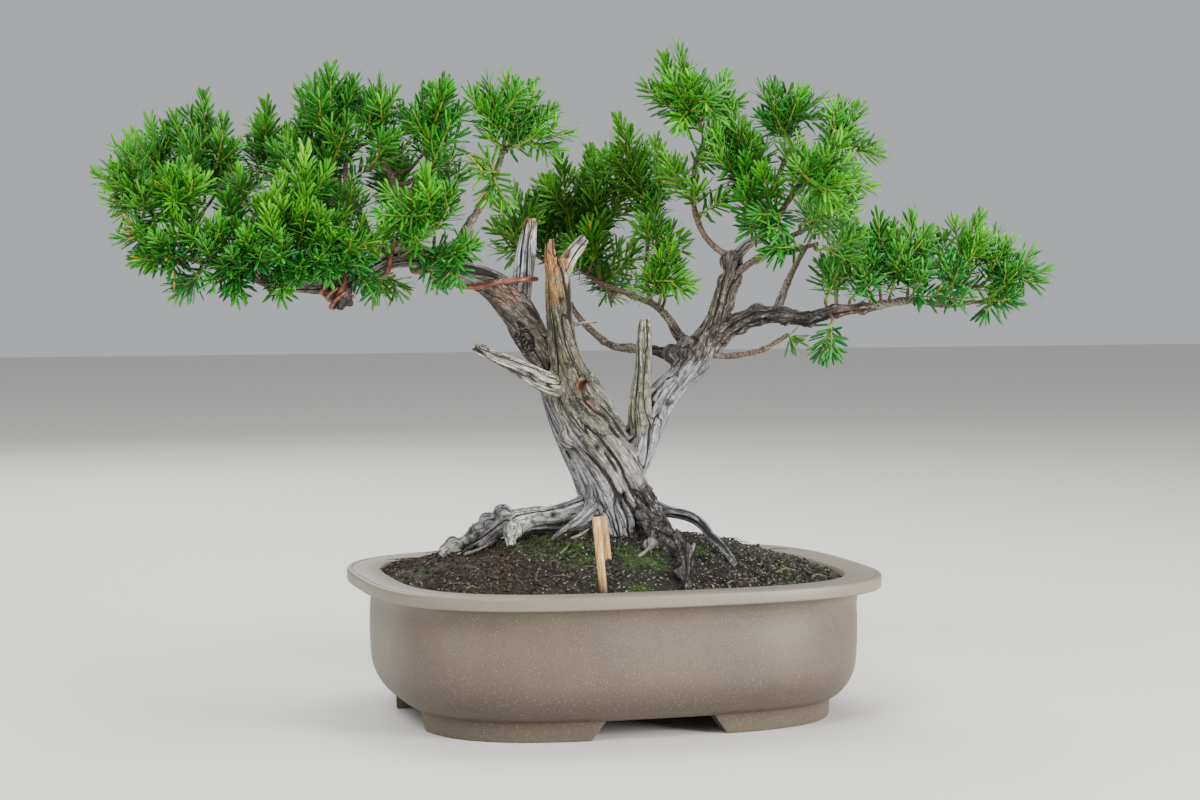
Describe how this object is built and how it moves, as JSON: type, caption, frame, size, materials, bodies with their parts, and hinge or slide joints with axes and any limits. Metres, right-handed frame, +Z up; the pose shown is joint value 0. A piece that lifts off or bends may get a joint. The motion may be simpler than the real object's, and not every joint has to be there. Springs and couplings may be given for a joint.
{
  "type": "yew bonsai in a clay pot",
  "caption": "Old yew bonsai with deadwood stubs, spreading sprays of needles and surface roots, in an oblong unglazed clay pot on low feet.",
  "frame": {"origin": "middle of the bounding box in plan, at the height of the surface the pot feet stand on", "axes": "+Z up; +X along the long side of the pot, to the right as seen from the front; +Y to the back"},
  "size_m": [0.711, 0.372, 0.5236],
  "materials": {
    "unglazed_clay": "matt fired clay, taupe",
    "drain_mesh": "black plastic mesh",
    "soil": "damp granules and fibre",
    "yew_wood": "weathered bark and deadwood",
    "copper_coloured_wire": "copper-brown anodised, dulled",
    "bamboo_stick": "bare bamboo",
    "yew_needles": "satin green leaf"
  },
  "bodies": {
    "root": {"pot": "unglazed_clay", "drain_screen_left": "drain_mesh", "drain_screen_right": "drain_mesh", "soil": "soil", "tree_wood": "yew_wood", "training_wire": "copper_coloured_wire", "marker_stick_front": "bamboo_stick", "marker_stick_back": "bamboo_stick", "spray_left_01": "yew_needles", "spray_left_02": "yew_needles", "spray_left_03": "yew_needles", "spray_left_04": "yew_needles", "spray_left_05": "yew_needles", "spray_left_06": "yew_needles", "spray_left_07": "yew_needles", "spray_left_08": "yew_needles", "spray_left_09": "yew_needles", "spray_left_10": "yew_needles", "spray_left_11": "yew_needles", "spray_left_12": "yew_needles", "spray_left_13": "yew_needles", "spray_left_14": "yew_needles", "spray_left_15": "yew_needles", "spray_left_16": "yew_needles", "spray_left_17": "yew_needles", "spray_left_18": "yew_needles", "spray_left_19": "yew_needles", "spray_left_20": "yew_needles", "spray_left_21": "yew_needles", "spray_left_22": "yew_needles", "spray_left_23": "yew_needles", "spray_left_24": "yew_needles", "spray_left_25": "yew_needles", "spray_middle_01": "yew_needles", "spray_middle_02": "yew_needles", "spray_middle_03": "yew_needles", "spray_middle_04": "yew_needles", "spray_middle_05": "yew_needles", "spray_middle_06": "yew_needles", "spray_middle_07": "yew_needles", "spray_middle_08": "yew_needles", "spray_right_01": "yew_needles", "spray_right_02": "yew_needles", "spray_right_03": "yew_needles", "spray_right_04": "yew_needles", "spray_right_05": "yew_needles", "spray_right_06": "yew_needles", "spray_right_07": "yew_needles", "spray_right_08": "yew_needles", "spray_right_09": "yew_needles", "spray_right_10": "yew_needles", "spray_right_11": "yew_needles", "spray_right_12": "yew_needles", "spray_right_13": "yew_needles", "spray_right_14": "yew_needles", "spray_right_15": "yew_needles", "spray_right_16": "yew_needles", "spray_right_17": "yew_needles"}
  },
  "joints": []
}
